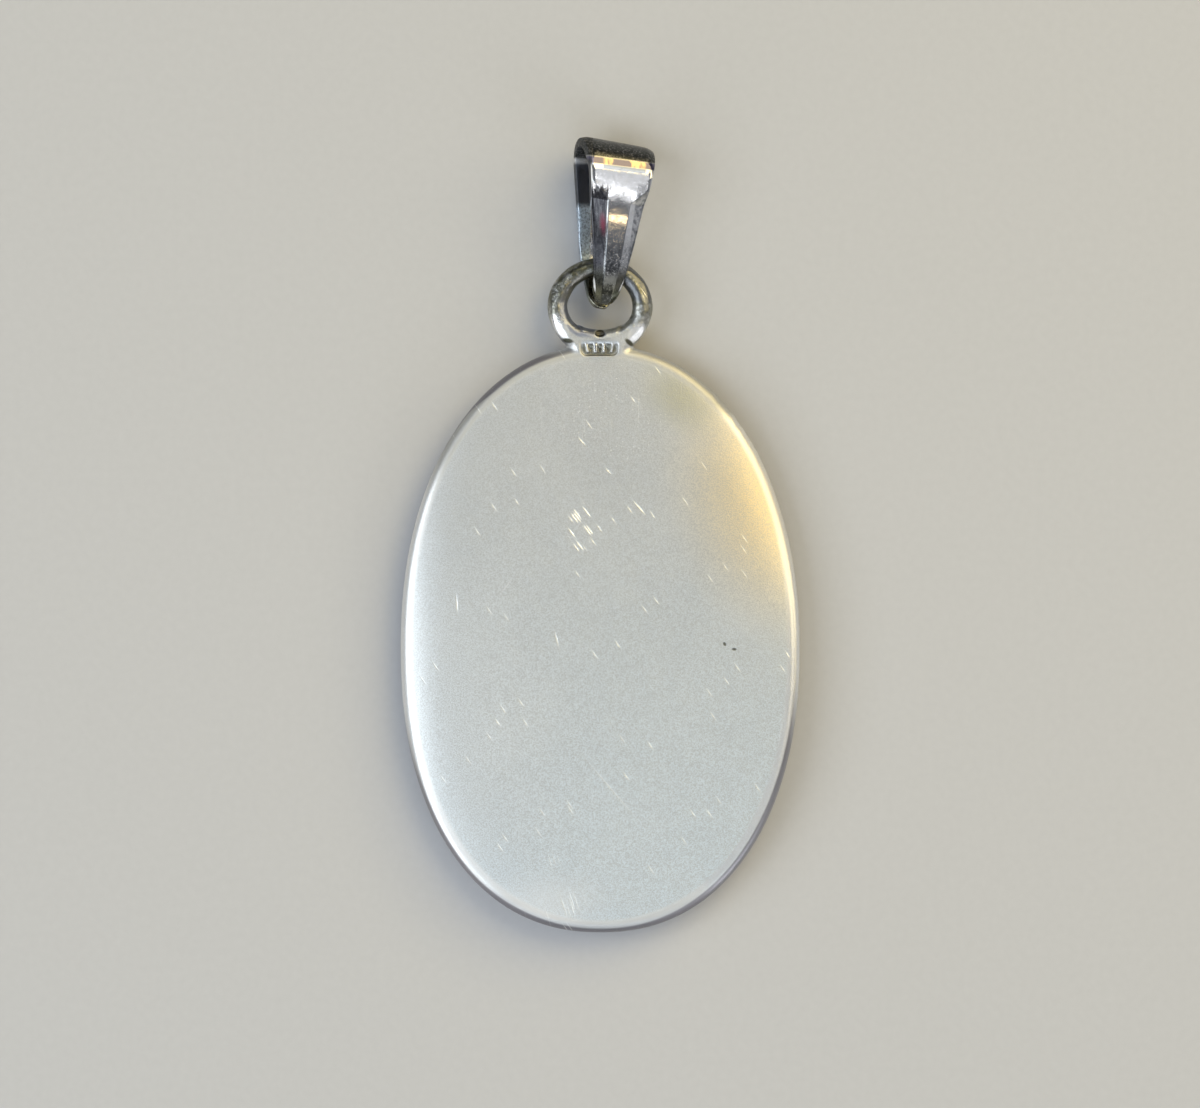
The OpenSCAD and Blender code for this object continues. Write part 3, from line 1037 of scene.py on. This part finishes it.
def satin_colour(n, grain, rim, ring, marks, field):
    tone = n.total(n.product(grain.coarse, 0.5), n.product(grain.fine, 0.5))
    # Painted shade for the ring's inner left side, bluish low down
    hole_shade_colour = n.mix(n.above(n.y, 16.4, 17.2), RING_HOLE_SHADE_LOW, RING_HOLE_SHADE_HIGH)
    sunk = n.product(n.above(field, 0.1, 0.4), n.below(n.z, PLATE_T - 0.07, PLATE_T - 0.02))
    back = n.coats(
        n.mix(n.above(n.y, -13, 13), BACK_LOW, BACK_HIGH),
        (BACK_CLOUD, grain.cloud, 0.3),
        (BACK_COOL, n.near(*COOL_SPOT), 0.55),
        # A painted reflection of the warm lamp
        (BACK_WARM_REFLECTION, n.near(*WARM_REFLECTION_SPOT), 0.95),
        (BACK_OLIVE, n.near(*OLIVE_SPOT), 0.85),
        (BACK_STAIN, n.near(*STAIN_SPOT), n.above(grain.coarse, 0.35, 0.6), 0.5),
        (BACK_GRAIN, n.span(tone, 0.38, 0.62, 0.6, 0.0)),
        # The painted rim highlight, with painted shade at the top and a dimmer painted highlight at the
        # bottom
        (RIM_HIGHLIGHT, rim.all_round, 0.7),
        (RIM_TOP_SHADE, rim.top, 0.6),
        (RIM_LOW_HIGHLIGHT, rim.low, 0.8),
        (WHITE, n.near(*HAZE_SPOT), 0.4),
    )
    return n.coats(
        back,
        (RING_MOTTLE, ring.all_round, n.span(grain.mottle, 0.35, 0.6, 0.3, 0.95)),
        # Tarnish and painted shade on the ring's upper part
        (RING_TARNISH_AND_SHADE, ring.upper, n.span(grain.mottle, 0.35, 0.6, 0.4, 1.0)),
        (RING_PATINA, ring.patina, 0.5),
        # Painted shade on the ring's inner left side
        (hole_shade_colour, ring.hole_left_shade, 0.93),
        # Painted shade on the ring's upper right flank, except along a narrow stripe
        (RING_SHOULDER_SHADE, ring.shoulder_shade, 0.9),
        # Painted highlights on the ring's lower flanks
        (RING_HIGHLIGHT, ring.polished, 0.9),
        # Painted shade on the side wall and beside the foot
        (WALL_SHADE, rim.wall, 0.8),
        # Painted shade on the ring's sides
        (RING_SIDE_SHADE, ring.side_shade, 0.85),
        (FIELD_DARK, sunk, 0.85),
        (WHITE, marks.bright, 0.9),
        (SMALL_PITS, n.span(marks.dark, 0.1, 0.7, 0, 0.9)),
        (PIT_DARK, marks.pit, 0.95),
        # Painted shade in the crevices
        (CREVICE_SHADE, marks.crevices, 0.95),
    )


def satin_silver():
    n = Nodes("satin_silver")
    grain = satin_grain(n)
    rim = satin_rim(n)
    ring = satin_ring(n, grain)
    top_middle = n.near(*TOP_MIDDLE_SPOT)
    marks = satin_marks(n, grain, top_middle)
    field = n.near(*FIELD_SPOT)
    roughness = n.total(
        0.34,
        n.product(grain.coarse, 0.10),
        n.product(grain.cloud, 0.06),
        n.product(rim.all_round, rim.low_right, -0.08),
        n.product(ring.all_round, -0.12),
        n.product(marks.bright, -0.12),
        n.product(field, -0.2),
        n.product(rim.top, 0.1),
        n.product(rim.low, 0.2),
        n.product(marks.crevices, 0.2),
        n.product(ring.polished, -0.06),
    )
    height = n.total(
        n.product(grain.coarse, 0.006),
        n.product(grain.fine, 0.0034),
        n.product(grain.waves, 0.012),
        n.product(grain.hatch, n.lift(top_middle, 0.0008, 0.004)),
        n.product(marks.bright, -0.012),
        n.product(marks.dark, -0.008),
        n.product(grain.mottle, ring.all_round, n.above(n.y, 14.9, 15.4), 0.045),
        n.product(marks.pit, -0.03),
    )
    return n.metal(satin_colour(n, grain, rim, ring, marks, field), roughness, height)


# Polished silver of the bail

# Colours of the outer face, the fold, the bands below it, the facets, the inside and the tip, many of them
# painted shade, reflections and highlights
BAIL_PALE = (0.90, 0.905, 0.92)
BAIL_CLOUD = (0.80, 0.81, 0.84)
BAIL_SCUFF = (0.56, 0.57, 0.60)
# Painted shade on the low part
BAIL_LOW_SHADE = (0.20, 0.21, 0.23)
BAIL_MARKS = (0.95, 0.95, 0.98)
# Painted shade on the fold's crest, and lighter speckles on it
CREST_SHADE = (0.04, 0.043, 0.042)
CREST_SPECKLE = (0.24, 0.24, 0.25)
# Painted reflection of the warm lamp: a golden band with violet marks
VIOLET_REFLECTION = (0.13, 0.12, 0.20)
GOLD_REFLECTION = (0.68, 0.50, 0.30)
# Painted shade below the golden band, bluish so the warm lamp looks grey there
BLUE_SHADE_BAND = (0.19, 0.24, 0.42)
# Painted shade on the side facets
RIGHT_FACET_SHADE = (0.24, 0.25, 0.27)
LEFT_FACET_SHADE = (0.05, 0.05, 0.06)
# A painted reddish reflection on the upper leg
RED_REFLECTION = (0.22, 0.05, 0.08)
INSIDE_DULL = (0.30, 0.38, 0.47)
INSIDE_PALE = (0.76, 0.88, 1.0)
INSIDE_SHADE = (0.07, 0.075, 0.09)
# Painted shade on the neck above the tip
NECK_SHADE = (0.07, 0.07, 0.055)
TIP_OLIVE = (0.36, 0.35, 0.22)
# Painted highlights along the bail's edges
EDGE_HIGHLIGHT = (1.0, 1.0, 0.99)

# Heights where one band gives way to the next, from the low part to the fold
LOW_PART = (18.6, 20.9)
TO_BLUE = (23.36, 23.44)
BLUE_TO_GOLD = (23.6, 23.68)
GOLD_END = (23.93, 24.03)
TO_CREST = (23.93, 24.06)
# Spots, speckles and streaks, given as those of the satin silver
# Where the reddish reflection is painted
RED_REFLECTION_SPOT = (0.15, 20.65, 0.25, 0.8, 4)
GLINT_SPOT = (0.92, 21.1, 0.8, 1.1)
BAIL_SPECKS = (6, 0.32, 0.3)
BAIL_STREAKS = (10, 2, 0.5, (1, 0.12, 1), -8)
GOLD_BLOBS = (1.9, 2, 0.5, (1, 0.4, 1))
# Edges with painted highlights: the ends of each line, and how strong it is
BAIL_HIGHLIGHT_EDGES = (
    (-0.45, 23.9, -0.34, 22.1, 0.9),
    (-0.34, 18.2, -0.22, 17.2, 0.9),
    (1.37, 18.2, 0.86, 17.2, 0.9),
)
BAIL_EDGE_HALF_W = 0.085
# The roughness of the glint on the upper leg
GLINT_ROUGHNESS = (0.07, 0.07, 0.07)


def polished_grain(n):
    """Scuffs, streaks and clouds, all between 0 and 1."""
    return SimpleNamespace(
        scuff=n.noise(4.5, detail=4, roughness=0.6),
        fine=n.noise(9, detail=4, roughness=0.7),
        streaks=n.noise(*BAIL_STREAKS),
        cloud=n.noise(1.1, detail=2),
        specks=n.dots(*BAIL_SPECKS),
        blobs=n.above(n.noise(*GOLD_BLOBS), 0.42, 0.56),
    )


def polished_zones(n, grain):
    """The fold's crest, the bands below it, the facets, the inside and the low part of the bail, where shade,
    reflections and highlights are painted.
    """
    up = n.tilt(n.y, n.x, 0.098)
    upper_leg = n.above(n.tilt(n.z, n.x, 0.3), 2.12, 2.32)
    inside = n.below(n.tilt(n.x, n.y, -0.028), -1.08, -1.02)
    low_part = n.below(n.y, *LOW_PART)
    # Where bluish painted shade lies below the golden band
    blue = n.product(n.above(up, *TO_BLUE), n.below(up, *BLUE_TO_GOLD), n.above(n.z, 2.9, 3.1))
    left = n.product(
        n.below(n.tilt(n.x, n.y, -0.06), -0.97, -0.88),
        n.below(n.tilt(n.y, grain.streaks, 1.1), 22.8, 23.15),
    )
    marks = n.product(n.above(grain.fine, 0.48, 0.72), n.lift(low_part, 0.1, 0.38))
    return SimpleNamespace(
        crest=n.above(up, *TO_CREST),
        # A golden band of painted reflection below the crest
        gold_reflection_band=n.product(n.above(up, *BLUE_TO_GOLD), n.below(up, *GOLD_END), n.above(n.z, 2.5, 2.7)),
        blobs=n.product(grain.blobs, n.above(n.x, 0.1, 0.4), n.below(n.x, 2.2, 2.4)),
        blue=n.product(blue, n.below(n.x, 2.25, 2.35), n.above(n.x, 0.1, 0.2)),
        low_part=low_part,
        inside=inside,
        # Painted shade on the right and left facets
        right=n.product(n.above(n.tilt(n.x, n.y, -0.13), -1.10, -1.02), n.below(n.y, 22.3, 22.8), upper_leg),
        left=n.product(left, n.inverse(inside), upper_leg),
        red=n.product(n.near(*RED_REFLECTION_SPOT), upper_leg),
        # Painted highlights along the bail's edges
        edges=n.product(n.above(n.lines(BAIL_HIGHLIGHT_EDGES, BAIL_EDGE_HALF_W), 0.1, 0.6), upper_leg),
        marks=n.most(marks, n.product(grain.specks, n.lift(low_part, 0.2, 0.5))),
    )


def polished_colour(n, grain, zones):
    scuff = grain.scuff
    inside_colour = n.mix(n.above(grain.fine, 0.36, 0.56), INSIDE_DULL, INSIDE_PALE)
    inside_colour = n.mix(n.above(n.y, 21.55, 21.95), inside_colour, INSIDE_SHADE)
    return n.coats(
        n.mix(grain.cloud, BAIL_PALE, BAIL_CLOUD),
        (BAIL_SCUFF, n.above(scuff, 0.4, 0.62), 0.35),
        # Painted shade on the low part, scuffed
        (BAIL_LOW_SHADE, zones.low_part, n.span(scuff, 0.35, 0.6, 0.95, 0.55)),
        (BAIL_MARKS, zones.marks),
        # Bluish painted shade below the golden band
        (BLUE_SHADE_BAND, zones.blue, 0.97),
        # Painted reflection of the warm lamp, golden with violet marks
        (n.mix(zones.blobs, VIOLET_REFLECTION, GOLD_REFLECTION), zones.gold_reflection_band, 0.97),
        # Painted shade on the crest
        (CREST_SHADE, zones.crest, n.span(scuff, 0.3, 0.7, 0.99, 0.94)),
        (CREST_SPECKLE, zones.crest, n.above(grain.fine, 0.5, 0.64), 0.85),
        # Painted shade on the right facet
        (RIGHT_FACET_SHADE, zones.right, n.span(scuff, 0.35, 0.62, 0.95, 0.3)),
        (inside_colour, zones.inside, n.below(n.y, 23.75, 24.0), 0.97),
        # Painted shade on the left facet
        (LEFT_FACET_SHADE, zones.left, n.span(grain.streaks, 0.42, 0.6, 0.985, 0.91)),
        # A painted reddish reflection
        (RED_REFLECTION, zones.red, 0.8),
        # Painted shade on the neck
        (NECK_SHADE, n.below(n.y, 17.9, 18.9), n.above(n.y, 17.0, 17.3), 0.85),
        (TIP_OLIVE, n.below(n.y, 16.7, 17.9), 0.6),
        # Painted edge highlights
        (EDGE_HIGHLIGHT, zones.edges, 0.95),
    )


def polished_silver():
    n = Nodes("polished_silver")
    grain = polished_grain(n)
    zones = polished_zones(n, grain)
    roughness = n.total(
        0.08,
        n.product(n.above(grain.scuff, 0.45, 0.7), 0.12),
        n.product(zones.crest, 0.2),
        n.product(zones.marks, 0.22),
        n.product(zones.inside, 0.25),
        n.product(zones.left, 0.13),
        n.product(zones.edges, 0.22),
    )
    roughness = n.mix(n.above(n.near(*GLINT_SPOT), 0.1, 0.4), roughness, GLINT_ROUGHNESS)
    height = n.total(
        n.product(grain.scuff, n.lift(zones.low_part, 0.0006, 0.004)),
        n.product(grain.streaks, 0.0008),
        n.product(n.noise(1.6, detail=1), 0.005),
        n.product(zones.marks, -0.003),
        n.product(grain.fine, zones.inside, 0.01),
    )
    return n.metal(polished_colour(n, grain, zones), roughness, height)


# Studio

FLOOR_PALE = (0.60, 0.61, 0.635)
FLOOR_GREY = (0.56, 0.57, 0.595)
FLOOR_HALF = 1500
FLOOR_CELLS = 8
AIR = (0.15, 0.155, 0.165, 1)

# Where the lights aim, and each one's name, place, width and height, brightness as seen, and colour
# where it isn't white
LIGHT_AIM = (0, 2, 2)
LIGHTS = (
    ("left_panel", (-276, -36, 298), (290, 320), 2.5, (0.93, 0.98, 1)),
    ("warm_lamp", (194, 215, 286), (230, 360), 2.95, (1, 0.79, 0.36)),
    ("warm_rim_lamp", (350, 90, 175), (160, 120), 2.6, (1, 0.86, 0.54)),
    ("near_panel", (0, -200, 390), (190, 240), 1.18, (0.85, 0.94, 1)),
    ("far_panel", (0, 210, 390), (190, 200), 0.92, (0.83, 0.93, 1)),
    ("right_ceiling", (216, 61, 330), (148, 170), 0.55),
    ("right_strip", (216, -20, 330), (9, 200), 3.2),
    ("glint_lamp", (204, -61, 338), (4, 40), 6.0, (1, 0.75, 0.40)),
    ("right_wall", (420, -60, 62), (260, 110), 0.30),
    ("bevel_panel", (130, -225, 290), (110, 110), 1.5),
    ("low_right_panel", (250, -270, 180), (200, 160), 1.8),
    ("low_left_panel", (-290, -250, 180), (200, 160), 1.3),
)


def soft_light(name, where, size, brightness, colour=(1, 1, 1)):
    width, height = (side * MM for side in size)
    data = bpy.data.lights.new(name, "AREA")
    data.shape = "RECTANGLE"
    data.size = width
    data.size_y = height
    data.energy = brightness * math.pi * width * height
    data.color = colour
    lamp = new_object(name, data)
    lamp.location = Vector(where) * MM
    aim = Vector(LIGHT_AIM) - Vector(where)
    lamp.rotation_euler = aim.to_track_quat("-Z", "Y").to_euler()
    lamp.visible_camera = False


def make_studio():
    scene = bpy.context.scene
    scene.view_settings.view_transform = "Standard"
    world = bpy.data.worlds.new("studio")
    world.use_nodes = True
    world.node_tree.nodes["Background"].inputs["Color"].default_value = AIR
    scene.world = world
    for light in LIGHTS:
        soft_light(*light)


def floor_paint():
    n = Nodes("floor_paint")
    shader = n.add("BsdfPrincipled")
    shader.inputs["Roughness"].default_value = 0.7
    n.feed(shader.inputs["Base Color"], n.mix(n.noise(2.5, detail=4), FLOOR_PALE, FLOOR_GREY))
    return n.end(shader)


def make_floor():
    sides = np.linspace(-FLOOR_HALF, FLOOR_HALF, FLOOR_CELLS + 1)
    points = [(x, y, 0) for y in sides for x in sides]
    faces = []
    for j in range(FLOOR_CELLS):
        for i in range(FLOOR_CELLS):
            corner = j * len(sides) + i
            faces.append((corner, corner + 1, corner + len(sides) + 1, corner + len(sides)))
    floor = make_piece("floor", points, faces, floor_paint())


make_camera()
make_studio()
make_floor()

pendant_metal = make_pendant_metal(satin_silver())
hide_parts("plate_and_ring")
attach(pendant_metal, "root")

folded_bail = make_bail(polished_silver())
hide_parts("bail")
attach(folded_bail, "root")
